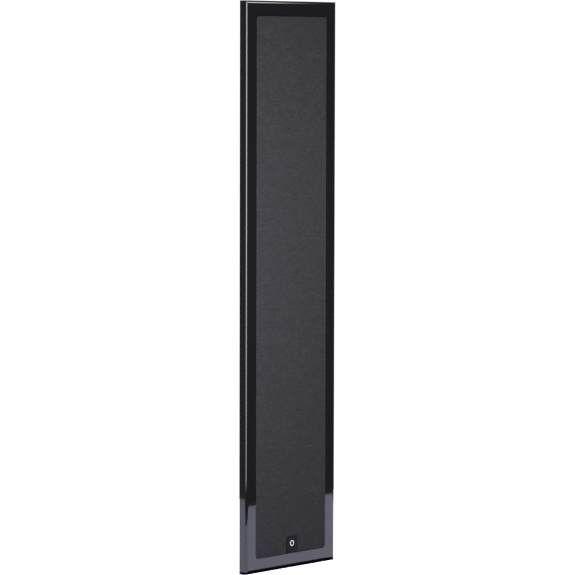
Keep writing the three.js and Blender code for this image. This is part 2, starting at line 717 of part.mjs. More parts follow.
add('tweeter_faceplate', tweeterFaceplate(), MATTE_BLACK());
add('tweeter_diaphragm', tweeterDiaphragm(), FOIL());
add('tweeter_housing', tweeterHousing(), STEEL());
add('tweeter_rear_cup', tweeterRearCup(), MATTE_BLACK());

add('crossover_board', crossoverBoard(), RESIN_GREEN());
add('woofer_inductor', coil(5, 14, 10), COPPER(), { x: -27, z: -237 });
add('tweeter_inductor', coil(3, 9, 7.5), COPPER(), { x: -1, z: -230 });
add('capacitor_large', capacitor(5.5, 28), FILM_YELLOW(), { x: 25, z: -231 });
add('capacitor_small', capacitor(4, 22), FILM_YELLOW(), { x: 25, z: -246 });
add('resistor', box(centred(11), [PARTS_BACK - 8, PARTS_BACK], centred(4)), CERAMIC(), { x: 0, z: -249 });
add('tweeter_lead', tweeterLead(), RED_PLASTIC());
add('woofer_lead', wooferLead(), LEAD_GREY());

add('grille_frame', grilleFrame(), MATTE_BLACK());
add('grille_cloth', grilleCloth(), CLOTH());
add('badge_plate', badgePlate(), GLOSS_BLACK());

export default speaker;
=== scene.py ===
"""Looks for a slim speaker panel that hangs on a wall. Shapes are in millimetres and the studio is in
metres, in the CAD's frame: X to the right, Y to the back and Z up, with the wall at Y = 0."""

import math

import bmesh
import bpy
import numpy as np
from mathutils import Matrix, Vector


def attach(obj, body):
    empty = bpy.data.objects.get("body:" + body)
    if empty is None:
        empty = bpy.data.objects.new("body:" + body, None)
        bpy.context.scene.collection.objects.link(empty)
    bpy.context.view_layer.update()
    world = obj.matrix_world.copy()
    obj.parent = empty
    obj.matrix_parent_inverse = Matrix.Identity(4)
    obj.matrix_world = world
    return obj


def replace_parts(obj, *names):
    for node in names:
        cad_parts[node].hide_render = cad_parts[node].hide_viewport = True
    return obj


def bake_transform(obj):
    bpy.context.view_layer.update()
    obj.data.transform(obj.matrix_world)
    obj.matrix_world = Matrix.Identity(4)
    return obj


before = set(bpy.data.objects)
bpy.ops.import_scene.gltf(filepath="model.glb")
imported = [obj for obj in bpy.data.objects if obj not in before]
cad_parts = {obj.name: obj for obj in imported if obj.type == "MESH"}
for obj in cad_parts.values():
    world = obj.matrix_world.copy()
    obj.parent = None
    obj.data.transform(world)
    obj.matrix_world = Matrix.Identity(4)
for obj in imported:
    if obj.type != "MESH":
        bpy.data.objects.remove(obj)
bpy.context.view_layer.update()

MM = 0.001
TAU = 2 * math.pi
LEVELS = {"upper": 1, "lower": -1}
SIDES = {"left": -1, "right": 1}
WOOFER_Z = 121
PASSIVE_Z = 229
HALF_WIDTH, HALF_HEIGHT = 79, 325
FACE = -39  # Y of the bezel's face
RIM = -33.5  # Y of the front of the drivers' rims and the tweeter's faceplate
SEAT = -31.3  # Y of the backs of the bezel's lip, the drivers' rims and the faceplate


# ---------------------------------------------------------------- outlines


def soften(corners, closed=False, steps=4):
    """A line through (u, v, radius) corners, with each corner rounded to its radius."""
    line, count = [], len(corners)
    for i, (u, v, radius) in enumerate(corners):
        point = Vector((u, v))
        if radius == 0 or (not closed and i in (0, count - 1)):
            line.append((u, v))
            continue
        before = Vector(corners[i - 1][:2]) - point
        after = Vector(corners[(i + 1) % count][:2]) - point
        cut = radius / math.tan(before.angle(after) / 2)
        cut = min(cut, 0.49 * before.length, 0.49 * after.length)
        start = point + cut * before.normalized()
        end = point + cut * after.normalized()
        for s in range(steps + 1):
            t = s / steps
            at = (1 - t) ** 2 * start + 2 * t * (1 - t) * point + t * t * end
            line.append((at.x, at.y))
    return line


def rounded_loop(half_x, half_z, radius, y, steps=8, centre=(0, 0)):
    """A rounded rectangle across Y."""
    loop = []
    for k, (sign_x, sign_z) in enumerate(((1, 1), (-1, 1), (-1, -1), (1, -1))):
        for s in range(steps + 1):
            turn = (k + s / steps) * math.pi / 2
            x = centre[0] + sign_x * (half_x - radius) + radius * math.cos(turn)
            z = centre[1] + sign_z * (half_z - radius) + radius * math.sin(turn)
            loop.append((x, y, z))
    return loop


def ring_loop(radius, y, count):
    """A circle across Y, or any outline given as its radius at each angle."""
    reach = radius if callable(radius) else lambda turn: radius
    turns = [TAU * k / count for k in range(count)]
    return [(reach(t) * math.cos(t), y, reach(t) * math.sin(t)) for t in turns]


# ---------------------------------------------------------------- meshes


def mesh_object(name, points, faces, location=(0, 0, 0), sharp=35):
    """A smooth-shaded object with its faces turned outwards. Points and location are in millimetres."""
    mesh = bpy.data.meshes.new(name)
    mesh.from_pydata([[c * MM for c in p] for p in points], [], faces)
    shape = bmesh.new()
    shape.from_mesh(mesh)
    bmesh.ops.remove_doubles(shape, verts=shape.verts, dist=1e-7)
    bmesh.ops.recalc_face_normals(shape, faces=shape.faces)
    shape.to_mesh(mesh)
    shape.free()
    mesh.shade_smooth()
    mesh.set_sharp_from_angle(angle=math.radians(sharp))
    obj = bpy.data.objects.new(name, mesh)
    obj.location = [c * MM for c in location]
    bpy.context.scene.collection.objects.link(obj)
    return obj


def even_normals(obj):
    """Large flat faces keep their own normal, and the small rounds beside them carry the turn."""
    weigh = obj.modifiers.new("even_normals", "WEIGHTED_NORMAL")
    weigh.weight = 100
    weigh.keep_sharp = True
    return obj


def loft(name, loops, closed=False, location=(0, 0, 0), sharp=35):
    """Skin over loops of equal counts: joined end to end, or capped at both ends."""
    count = len(loops[0])
    faces = []
    for a in range(len(loops) if closed else len(loops) - 1):
        b = (a + 1) % len(loops)
        for k in range(count):
            j = (k + 1) % count
            faces.append((a * count + k, a * count + j, b * count + j, b * count + k))
    if not closed:
        faces.append(tuple(reversed(range(count))))
        faces.append(tuple((len(loops) - 1) * count + k for k in range(count)))
    points = [p for loop in loops for p in loop]
    return even_normals(mesh_object(name, points, faces, location, sharp))


def lathe(name, profile, location=(0, 0, 0), count=96, axis="Y", closed=True, sharp=35, reach=None):
    """Turns (radius, height) points about an axis through location. reach, if given, changes the radius
    with the turn and the height."""
    points, faces = [], []
    for radius, height in profile:
        for k in range(count):
            turn = TAU * k / count
            r = reach(turn, radius, height) if reach else radius
            x, z = r * math.cos(turn), r * math.sin(turn)
            points.append((x, height, z) if axis == "Y" else (x, -z, height))
    rows = len(profile)
    for a in range(rows if closed else rows - 1):
        b = (a + 1) % rows
        if profile[a][0] == 0 and profile[b][0] == 0:
            continue
        for k in range(count):
            j = (k + 1) % count
            faces.append((a * count + k, a * count + j, b * count + j, b * count + k))
    return even_normals(mesh_object(name, points, faces, location, sharp))


def block(name, half_x, half_z, front, back, corner, edge, centre=(0, 0)):
    """A plate across Y with round corners and rounded edges."""
    loops = []
    start = edge * 3
    for inset, y in soften([(start, front, 0), (0, front, edge), (0, back, edge), (start, back, 0)]):
        radius = max(corner - inset, 0.05)
        loops.append(rounded_loop(half_x - inset, half_z - inset, radius, y, centre=centre))
    return loft(name, loops)


def thickened(line, thick):
    """The outline of a sheet whose front follows line."""
    return line + [(u, v + thick) for u, v in reversed(line)]


def joined(name, *objs):
    """One object holding several meshes, named after the whole."""
    whole = bmesh.new()
    for o in objs:
        part = o.data.copy()
        part.transform(Matrix.Translation(o.location))
        whole.from_mesh(part)
        bpy.data.meshes.remove(part)
        bpy.data.objects.remove(o)
    mesh = bpy.data.meshes.new(name)
    whole.to_mesh(mesh)
    whole.free()
    mesh.shade_smooth()
    mesh.set_sharp_from_angle(angle=math.radians(35))
    obj = bpy.data.objects.new(name, mesh)
    bpy.context.scene.collection.objects.link(obj)
    return even_normals(obj)


def carved(obj, cutters):
    """obj with the cutters taken out of it."""
    for cutter in cutters:
        cut = obj.modifiers.new("cut", "BOOLEAN")
        cut.object, cut.operation, cut.solver = cutter, "DIFFERENCE", "EXACT"
    seen = bpy.context.evaluated_depsgraph_get()
    mesh = bpy.data.meshes.new_from_object(obj.evaluated_get(seen))
    obj.modifiers.clear()
    obj.data = mesh
    for cutter in cutters:
        bpy.data.objects.remove(cutter)
    mesh.set_sharp_from_angle(angle=math.radians(35))
    return even_normals(obj)


# ---------------------------------------------------------------- materials


class Look:
    """A node material round one Principled shader. Positions come from the object's own coordinates."""

    def __init__(self, name, roughness=0.5, metallic=0.0, **sockets):
        self.material = bpy.data.materials.new(name)
        self.material.use_nodes = True
        self.tree = self.material.node_tree
        self.shader = self.tree.nodes["Principled BSDF"]
        self.shader.inputs["Roughness"].default_value = roughness
        self.shader.inputs["Metallic"].default_value = metallic
        for socket, value in sockets.items():
            self.shader.inputs[socket.replace("_", " ")].default_value = value
        self.place = self.node("TexCoord").outputs["Object"]

    def node(self, kind, links=(), **settings):
        made = self.tree.nodes.new("ShaderNode" + kind)
        for key, value in settings.items():
            setattr(made, key, value)
        for socket, value in dict(links).items():
            if isinstance(value, bpy.types.NodeSocket):
                self.tree.links.new(value, made.inputs[socket])
            else:
                made.inputs[socket].default_value = value
        return made

    def stretched(self, scale):
        return self.node("Mapping", {"Vector": self.place, "Scale": scale}).outputs[0]

    def noise(self, scale, detail=3.0, place=None):
        links = {"Vector": place or self.place, "Scale": scale, "Detail": detail}
        return self.node("TexNoise", links).outputs["Fac"]

    def waves(self, period, direction, rings=False, distortion=0.0):
        """Bands or rings, one each period in metres. At scale 1 the texture has one each TAU / 20."""
        kind = "RINGS" if rings else "BANDS"
        key = "rings_direction" if rings else "bands_direction"
        links = {"Vector": self.place, "Scale": TAU / 20 / period, "Distortion": distortion}
        return self.node("TexWave", links, wave_type=kind, **{key: direction}).outputs["Fac"]

    def math(self, operation, a, b=0.0):
        return self.node("Math", {0: a, 1: b}, operation=operation).outputs[0]

    def ranged(self, value, low, high, start=0.0, end=1.0, smooth=False):
        links = {"Value": value, "From Min": start, "From Max": end, "To Min": low, "To Max": high}
        kind = "SMOOTHSTEP" if smooth else "LINEAR"
        return self.node("MapRange", links, interpolation_type=kind).outputs["Result"]

    def mixed(self, share, first, second):
        """A colour between two, each an RGB triple or a colour socket."""
        mix = self.node("Mix", {0: share}, data_type="RGBA")
        for socket, colour in ((6, first), (7, second)):
            if isinstance(colour, bpy.types.NodeSocket):
                self.tree.links.new(colour, mix.inputs[socket])
            else:
                mix.inputs[socket].default_value = (*colour, 1)
        return mix.outputs[2]

    def colour(self, socket):
        self.tree.links.new(socket, self.shader.inputs["Base Color"])
        return self

    def rough(self, value, low, high, start=0.3, end=0.7):
        self.tree.links.new(self.ranged(value, low, high, start, end), self.shader.inputs["Roughness"])
        return self

    def relief(self, height, depth):
        """Raises the surface by up to depth metres."""
        bump = self.node("Bump", {"Height": height, "Distance": depth, "Strength": 1.0})
        self.tree.links.new(bump.outputs[0], self.shader.inputs["Normal"])
        return self


def tint(colour, factor):
    return tuple(min(1.0, c * factor) for c in colour)


def moulded(name, colour, grain, depth, roughness, **sockets):
    """Moulded plastic: an eroded grain, uneven gloss and a slight change of shade."""
    look = Look(name, **sockets)
    broad = look.noise(38, 4)
    fine = look.noise(grain, 2)
    look.colour(look.mixed(look.ranged(broad, 0, 1, 0.3, 0.7), tint(colour, 0.82), tint(colour, 1.2)))
    look.rough(look.noise(90, 5), roughness - 0.07, roughness + 0.07)
    return look.relief(fine, depth).material


def metal(name, colour, roughness, grain=(1, 1, 1)):
    """Plated or bare metal with a fine grain and faint stains."""
    look = Look(name, metallic=1.0)
    stain = look.noise(70, 5)
    scratch = look.noise(900, 3, look.stretched(grain))
    look.colour(look.mixed(look.ranged(stain, 0, 1, 0.35, 0.7), tint(colour, 0.86), tint(colour, 1.06)))
    look.rough(scratch, roughness - 0.09, roughness + 0.11)
    return look.relief(scratch, 4e-6).material


def lacquer():
    """Piano lacquer: a deep black under a faint orange peel, with a few soft wipe marks."""
    look = Look("gloss_black", IOR=1.5)
    smear = look.noise(9, 4, look.stretched((1, 1, 0.35)))
    peel = look.noise(420, 1)
    look.colour(look.mixed(smear, (0.0030, 0.0028, 0.0040), (0.0052, 0.0049, 0.0064)))
    look.rough(smear, 0.022, 0.05)
    return look.relief(peel, 4e-7).material


def knit():
    """Charcoal grille cloth: small knitted stitches in two shades of yarn that change by the thread,
    and painted shade that darkens the gaps between stitches.
    """
    look = Look("grille_cloth", roughness=0.92, Sheen_Weight=0.12, Sheen_Roughness=0.4)
    look.shader.inputs["Specular IOR Level"].default_value = 0.06
    wales = look.waves(0.00105, "X", distortion=0.6)
    courses = look.waves(0.00082, "Z", distortion=0.6)
    stitch = look.math("MULTIPLY", wales, courses)
    thread = look.noise(1.0, 3, look.stretched((170, 170, 620)))
    slub = look.noise(1.0, 2, look.stretched((60, 60, 95)))
    shade = look.ranged(thread, 0, 1, 0.34, 0.66)
    yarn = look.mixed(shade, (0.047, 0.046, 0.053), (0.071, 0.070, 0.081))
    yarn = look.mixed(look.ranged(slub, 0, 0.35, 0.4, 0.75), yarn, (0.044, 0.043, 0.050))
    # Painted shade: the gaps between stitches are darkened towards a near black.
    look.colour(look.mixed(look.ranged(stitch, 0.5, 0, 0, 0.45), yarn, (0.020, 0.020, 0.023)))
    fibre = look.noise(5200, 2)
    return look.relief(look.math("ADD", stitch, look.math("MULTIPLY", fibre, 0.35)), 1.6e-4).material


def spun():
    """Spun aluminium: fine turning marks round the driver's axis."""
    look = Look("aluminium", metallic=1.0, Anisotropic=0.35)
    rings = look.waves(0.00045, "Y", rings=True, distortion=0.4)
    cloud = look.noise(45, 4)
    look.colour(look.mixed(cloud, (0.52, 0.52, 0.54), (0.68, 0.68, 0.70)))
    look.rough(look.math("ADD", rings, look.math("MULTIPLY", cloud, 0.6)), 0.26, 0.42, 0, 1.6)
    return look.relief(rings, 6e-6).material


def winding(name, wire, shaded_enamel, lit_enamel):
    """Enamelled wire, turn beside turn, with a painted highlight on the crests of the turns and painted
    shade between them, changed at random by noise.
    """
    look = Look(name, metallic=0.9)
    turns = look.waves(wire, "Y", distortion=0.25)
    # Painted highlight and shade: the enamel is lighter on each turn's crest and darker between turns,
    # with noise changing it at random.
    look.colour(look.mixed(look.math("MULTIPLY", turns, look.noise(240, 3)), shaded_enamel, lit_enamel))
    look.rough(look.noise(300, 2), 0.22, 0.4)
    return look.relief(turns, wire * 0.3).material


def treated_weave():
    """Resin-treated cotton, tan, with an open plain weave and painted shade that darkens the gaps
    between threads.
    """
    look = Look("spider_cloth", roughness=0.85)
    weave = look.math("MULTIPLY", look.waves(0.0007, "X"), look.waves(0.0007, "Z"))
    stain = look.noise(60, 4)
    base = look.mixed(stain, (0.33, 0.20, 0.07), (0.50, 0.33, 0.13))
    # Painted shade: the gaps between threads are darkened towards a deep brown.
    look.colour(look.mixed(look.ranged(weave, 0.6, 0, 0, 0.5), base, (0.12, 0.07, 0.03)))
    return look.relief(weave, 1e-4).material


def foil_tracks(front, back):
    """Amber film with a bright foil track printed along each flank of its pleats."""
    look = Look("foil")
    depth = look.node("SeparateXYZ", {0: look.place}).outputs["Y"]
    inside = look.ranged(depth, 0, 1, front, front + 0.0004)
    beyond = look.ranged(depth, 1, 0, back - 0.0004, back)
    track = look.math("MULTIPLY", inside, beyond)
    film = look.mixed(look.noise(200, 3), (0.34, 0.19, 0.04), (0.46, 0.28, 0.07))
    look.colour(look.mixed(track, film, (0.72, 0.71, 0.69)))
    look.tree.links.new(track, look.shader.inputs["Metallic"])
    look.rough(look.noise(700, 2), 0.25, 0.42)
    return look.relief(look.math("ADD", track, look.noise(500, 3)), 1.5e-5).material


def board():
    """Green laminate with copper lines showing under the solder mask."""
    look = Look("board_resin")
    cells = look.node("TexBrick", {"Vector": look.place, "Scale": 60.0, "Mortar Size": 0.05})
    glass = look.math("MULTIPLY", look.waves(0.0009, "X"), look.waves(0.0009, "Z"))
    mask = look.mixed(look.noise(50, 3), (0.018, 0.085, 0.035), (0.032, 0.125, 0.055))
    look.colour(look.mixed(cells.outputs["Fac"], mask, (0.05, 0.19, 0.08)))
    look.rough(look.noise(120, 3), 0.3, 0.5)
    height = look.math("ADD", cells.outputs["Fac"], look.math("MULTIPLY", glass, 0.3))
    return look.relief(height, 3e-5).material


def speckled(name, colour, fleck, roughness, grain):
    """A matt body with flecks, such as cement, pulp or rubber."""
    look = Look(name)
    spots = look.noise(grain, 4)
    look.colour(look.mixed(look.ranged(spots, 0, 1, 0.42, 0.62), colour, fleck))
    look.rough(look.noise(150, 4), roughness - 0.08, roughness + 0.08)
    return look.relief(spots, 4e-5).material


LOOKS = {
    "gloss_black": lacquer(),
    "matte_black": moulded("matte_black", (0.0125, 0.0125, 0.0135), 1700, 2.5e-5, 0.5),
    "shell_black": moulded("shell_black", (0.020, 0.020, 0.0215), 950, 7e-5, 0.56),
    "grille_cloth": knit(),
    "rubber": speckled("rubber", (0.009, 0.009, 0.009), (0.016, 0.016, 0.016), 0.68, 1400),
    "steel": metal("steel", (0.56, 0.57, 0.59), 0.34, (1, 1, 0.2)),
    "aluminium": spun(),
    "brass": metal("brass", (0.78, 0.57, 0.24), 0.2),
    "copper": winding("copper", 0.0008, (0.30, 0.10, 0.03), (0.74, 0.33, 0.14)),
    "paper_black": speckled("paper_black", (0.011, 0.011, 0.012), (0.026, 0.026, 0.027), 0.72, 600),
    "spider_cloth": treated_weave(),
    "foil": foil_tracks(-0.0292, -0.0268),
    "board_resin": board(),
    "film_yellow": moulded("film_yellow", (0.55, 0.40, 0.06), 240, 3e-5, 0.3),
    "ceramic": speckled("ceramic", (0.62, 0.59, 0.52), (0.45, 0.42, 0.36), 0.8, 700),
    "red_plastic": moulded("red_plastic", (0.30, 0.012, 0.012), 500, 6e-6, 0.16),
    "lead_grey": moulded("lead_grey", (0.05, 0.046, 0.042), 900, 2e-5, 0.42),
}
BRIGHT_MARK = metal("bright_mark", (0.66, 0.66, 0.68), 0.3)
SATIN_BLACK = moulded("satin_black", (0.0125, 0.0125, 0.0135), 2600, 4e-6, 0.5, Specular_IOR_Level=0.05)
DARK_STEEL = metal("dark_steel", (0.045, 0.045, 0.048), 0.36)


def piece(obj, body, slot, *nodes, look=None):
    """Gives obj its finish, puts it on its body and lets it stand for CAD nodes."""
    obj.data.materials.clear()
    obj.data.materials.append(look or LOOKS[slot])
    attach(obj, body)
    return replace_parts(obj, *nodes) if nodes else obj


def dress(node, slot, edge=0.0):
    """Keeps a CAD node's shape, with its finish and its edges eased by edge millimetres."""
    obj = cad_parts[node]
    if "custom_normal" in obj.data.attributes:
        obj.data.attributes.remove(obj.data.attributes["custom_normal"])
    obj.data.shade_smooth()
    obj.data.materials.clear()
    obj.data.materials.append(LOOKS[slot])
    weld = obj.modifiers.new("weld", "WELD")
    weld.merge_threshold = 2e-6
    flat = obj.modifiers.new("flat", "DECIMATE")
    flat.decimate_type, flat.angle_limit = "DISSOLVE", math.radians(0.6)
    if edge:
        ease = obj.modifiers.new("ease", "BEVEL")
        ease.width, ease.segments, ease.limit_method = edge * MM, 3, "ANGLE"
        ease.angle_limit = math.radians(32)
        ease.use_clamp_overlap = True
    return even_normals(obj)


def turned(name, profile, body, slot, node, centre, count=96, closed=True):
    """A piece of revolution about Y, at height centre, that stands for one CAD node."""
    piece(lathe(name, profile, (0, 0, centre), count, closed=closed), body, slot, node)


def screw(name, x, y, z, facing, radius, rise):
    """A socket screw's head on the cabinet. facing is -1 to the front and 1 to the back."""
    count = 48
    key = radius * 0.5

    def hexagon(turn):
        return key / math.cos((turn + math.pi / 6) % (math.pi / 3) - math.pi / 6)

    out = y + facing * rise
    edge = soften([(radius, y - facing * 0.3, 0), (radius, out, 0.3), (key * 1.3, out, 0)])
    loops = [ring_loop(r, h, count) for r, h in edge]
    loops += [ring_loop(hexagon, out - facing * depth, count) for depth in (0.08, 0.75)]
    piece(loft(name, loops, location=(x, 0, z)), "cabinet", "steel", look=DARK_STEEL)


# ---------------------------------------------------------------- cabinet


def bezel():
    """Lacquered frame: a shallow bevel that rolls into the face, and a lip in front of the baffle.
    The borders at top and bottom are thinner than those at the sides."""
    bevel, drop, back = 2.95, 0.85, -29
    rebate, window, thinner = 6.5, 17.5, 0.7
    section = [
        (0, FACE + drop, 0.85), (bevel, FACE, 12), (window, FACE, 0.35), (window, SEAT, 0.2),
        (rebate, SEAT, 0.2), (rebate, back, 0.15), (0, back, 0.4),
    ]
    loops = []
    for inset, y in soften(section, closed=True, steps=8):
        at_window = inset > window - 1
        half_z = HALF_HEIGHT - inset + thinner * at_window
        loops.append(rounded_loop(HALF_WIDTH - inset, half_z, 4 if at_window else 0.22, y))
    piece(loft("bezel_frame", loops, closed=True), "cabinet", "gloss_black", "front_bezel")


def wall_pads():
    """Round rubber pads, with a hollow and a groove in the face that meets the wall."""
    groove, land = -0.35, -0.02
    outline = [(0, groove), (1.6, groove), (2.0, land), (2.8, land)]
    outline += [(3.2, groove), (4.2, groove), (4.6, land)]
    outline += soften([(0, 0, 0), (6.9, 0, 0.7), (7, -2.7, 0.2), (0, -2.7, 0)])[1:]
    for level, up in LEVELS.items():
        for side, right in SIDES.items():
            pad = lathe(f"pad_{level}_{side}", outline, (right * 34, 0, up * 270), closed=False)
            piece(pad, "cabinet", "rubber", f"wall_pad_{level}_{side}")


def keyhole_plates():
    """Zinc-plated hangers: an entry hole and a narrow slot above it, with a sunk screw at each end."""
    entry, slot, rise, drop = 5, 2.5, 8, 4
    half_x, half_z, half_thick, ease, middle_y = 23.7, 12.7, 0.75, 0.2, -4.05
    entry_steps, slot_steps = 40, 16
    for level, up in LEVELS.items():
        middle = up * 275
        curve = bpy.data.curves.new("keyhole", "CURVE")
        curve.dimensions, curve.fill_mode = "2D", "BOTH"
        opening = []
        start = math.asin(slot / entry)
        for k in range(entry_steps + 1):
            turn = math.pi / 2 + start + (TAU - 2 * start) * k / entry_steps
            opening.append((entry * math.cos(turn), middle - drop + entry * math.sin(turn)))
        for k in range(slot_steps + 1):
            turn = math.pi * k / slot_steps
            opening.append((slot * math.cos(turn), middle - drop + rise + slot * math.sin(turn)))
        outer = [(x, z) for x, _, z in rounded_loop(half_x, half_z, 2, 0, centre=(0, middle))]
        for outline in (outer, opening):
            spline = curve.splines.new("POLY")
            spline.points.add(len(outline) - 1)
            for point, (x, z) in zip(spline.points, outline):
                point.co = (x * MM, z * MM, 0, 1)
            spline.use_cyclic_u = True
        curve.offset, curve.bevel_depth, curve.bevel_resolution = -ease * MM, ease * MM, 2
        curve.extrude = (half_thick - ease) * MM
        maker = bpy.data.objects.new("keyhole", curve)
        bpy.context.scene.collection.objects.link(maker)
        seen = bpy.context.evaluated_depsgraph_get()
        mesh = bpy.data.meshes.new_from_object(maker.evaluated_get(seen))
        bpy.data.objects.remove(maker)
        mesh.transform(Matrix.Translation((0, middle_y * MM, 0)) @ Matrix.Rotation(math.pi / 2, 4, "X"))
        points = [tuple(c / MM for c in v.co) for v in mesh.vertices]
        plate = mesh_object(f"hanger_{level}", points, [tuple(f.vertices) for f in mesh.polygons])
        bpy.data.meshes.remove(mesh)
        piece(even_normals(plate), "cabinet", "steel", f"keyhole_plate_{level}")
        for side, right in SIDES.items():
            screw(f"hanger_screw_{level}_{side}", right * 20.6, -3.35, middle, 1, 1.9, 0.25)


def shell_screws():
    """Two rows of screws in the rear shell, and four at the terminal cup's corners."""
    places = [(right * 40, z) for right in (-1, 1) for z in (-235, -140, -45, 45, 140, 235)]
    for i, (x, z) in enumerate(places):
        screw(f"shell_screw_{i}", x, -3, z, 1, 2.6, 0.9)
    corners = [(right * 29.8, z) for z in (-163.9, -214.1) for right in (-1, 1)]
    for i, (x, z) in enumerate(corners):
        screw(f"cup_screw_{i}", x, -1.2, z, 1, 1.7, 0.55)


def binding_posts():
    """Gold-plated posts with a rolled thread, a loose clamp washer and a fluted knob."""
    pitch, thread_depth = 1.0, 0.32
    flutes, flute_depth, flute_top, flute_foot, fade = 8, 0.62, -174.2, -187.4, 1.2
    bore, grip, top, foot, seam = 3.35, 6.3, -172.3, -189.3, -189.2
    for name, right in {"red": 1, "black": -1}.items():
        place = (right * 9.5, -11, 0)

        def threaded(turn, radius, height):
            if radius < 2 or radius > 3.1:
                return radius
            phase = (height / pitch + turn / TAU) % 1
            return radius - thread_depth * abs(2 * phase - 1)

        outline = [(0, -160.0), (2.6, -160.0), (3, -160.5)]
        outline += [(3, z / 5) for z in range(-803, -840, -1)]
        outline += soften([(3, -168.3, 0), (5.5, -168.3, 0.3), (5.5, -170.3, 0.3), (3, -170.3, 0)])
        outline += [(3, z / 5) for z in range(-853, -960, -1)]
        outline += [(2.5, -192.3), (0, -192.3)]
        stud = lathe(f"post_{name}", outline, place, 48, "Z", closed=False, sharp=60, reach=threaded)
        piece(stud, "cabinet", "brass", f"post_stud_{name}")
        ring = [(3.3, -170.6, 0.25), (5.8, -170.6, 0.35), (5.8, -172, 0.35), (3.3, -172, 0.25)]
        washer = lathe(f"washer_{name}", soften(ring, closed=True), place, 64, "Z")
        piece(washer, f"clamp_{name}", "brass", f"clamp_washer_{name}")

        def fluted(turn, radius, height):
            if radius < 5.2 or not flute_foot < height < flute_top:
                return radius
            off = (turn / TAU * flutes + 0.5) % 1 - 0.5
            deep = max(0.0, 1 - (abs(off) / 0.24) ** 2) ** 0.5
            run = min(1.0, (height - flute_foot) / fade, (flute_top - height) / fade)
            return radius - flute_depth * deep * run

        outline = soften([(bore, seam, 0), (bore, top, 0.3), (grip, top, 0.5), (grip, -173.8, 0)])
        outline += [(grip, -173.9 - 0.45 * k) for k in range(31)]
        outline += soften([(grip, -187.8, 0), (5.3, foot, 0.5), (bore, foot, 0.2), (bore, seam, 0)])
        knob = lathe(f"knob_{name}_grip", outline, place, 128, "Z", sharp=50, reach=fluted)
        slot = "red_plastic" if name == "red" else "matte_black"
        piece(knob, f"knob_{name}", slot, f"post_knob_{name}")


# ---------------------------------------------------------------- drivers


def flex(obj, weight):
    """Bakes obj's place into its mesh. It works out, for each point, a share given by weight from the
    distance to obj's own axis, but the share is not kept, so obj does not bend.
    """
    obj.data.transform(obj.matrix_world)
    centre = obj.matrix_world.translation.copy()
    obj.matrix_world = Matrix.Identity(4)
    real = np.empty(len(obj.data.vertices) * 3, np.float32)
    obj.data.vertices.foreach_get("co", real)
    shaped = real.reshape(-1, 3).copy()
    reach = np.hypot(shaped[:, 0] - centre.x, shaped[:, 2] - centre.z) / MM
    shaped[:, 1] = [weight(r) for r in reach]
    obj.data.vertices.foreach_set("co", shaped.ravel())
    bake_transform(obj)
    obj.data.vertices.foreach_set("co", real)
    obj.data.update()
    return obj


def soft_ring(name, node, centre, profile, slot, inner, outer):
    """A ring at height centre that stands for one CAD node. inner and outer bound the share that flex
    works out, which is not kept, and the ring is put on no body.
    """
    ring = lathe(name, profile, (0, 0, centre), 120)
    ring.data.materials.append(LOOKS[slot])
    bpy.context.view_layer.update()
    flex(ring, lambda r: min(1.0, max(0.0, (outer - r) / (outer - inner))))
    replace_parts(ring, node)


def surround(kind, level, centre):
    """Rubber half roll, with a glued land at each side."""
    front, thick, steps = -33.1, 0.5, 24
    roll = [(36.6, front + 0.25), (37.2, front + 0.05)]
    for k in range(steps + 1):
        t = k / steps
        roll.append((37.4 + 6.2 * t, front - 1.6 * math.sin(math.pi * t) ** 0.85))
    roll += [(44.2, front), (46.5, front)]
    name, node = f"{kind}_roll_{level}", f"{kind}_surround_{level}"
    soft_ring(name, node, centre, thickened(roll, thick), "rubber", 37.6, 43.4)


def flange(depth_line):
    """The ring that carries the screws, with its recessed seat, down to a driver's own back line."""
    return soften(
        [
            (42.8, -32.3, 0.15), (47, -32.3, 0.1), (47, RIM, 0.25), (52, RIM, 0.45),
            (52, SEAT, 0.1), (46, SEAT, 0.2), *depth_line,
        ],
        closed=True,
    )


def flange_screws(kind, level, centre):
    circle = 49.55
    for k in range(6):
        turn = math.radians(30 + 60 * k)
        x, z = circle * math.cos(turn), centre + circle * math.sin(turn)
        screw(f"{kind}_screw_{level}_{k}", x, RIM, z, -1, 2.0, 0.6)


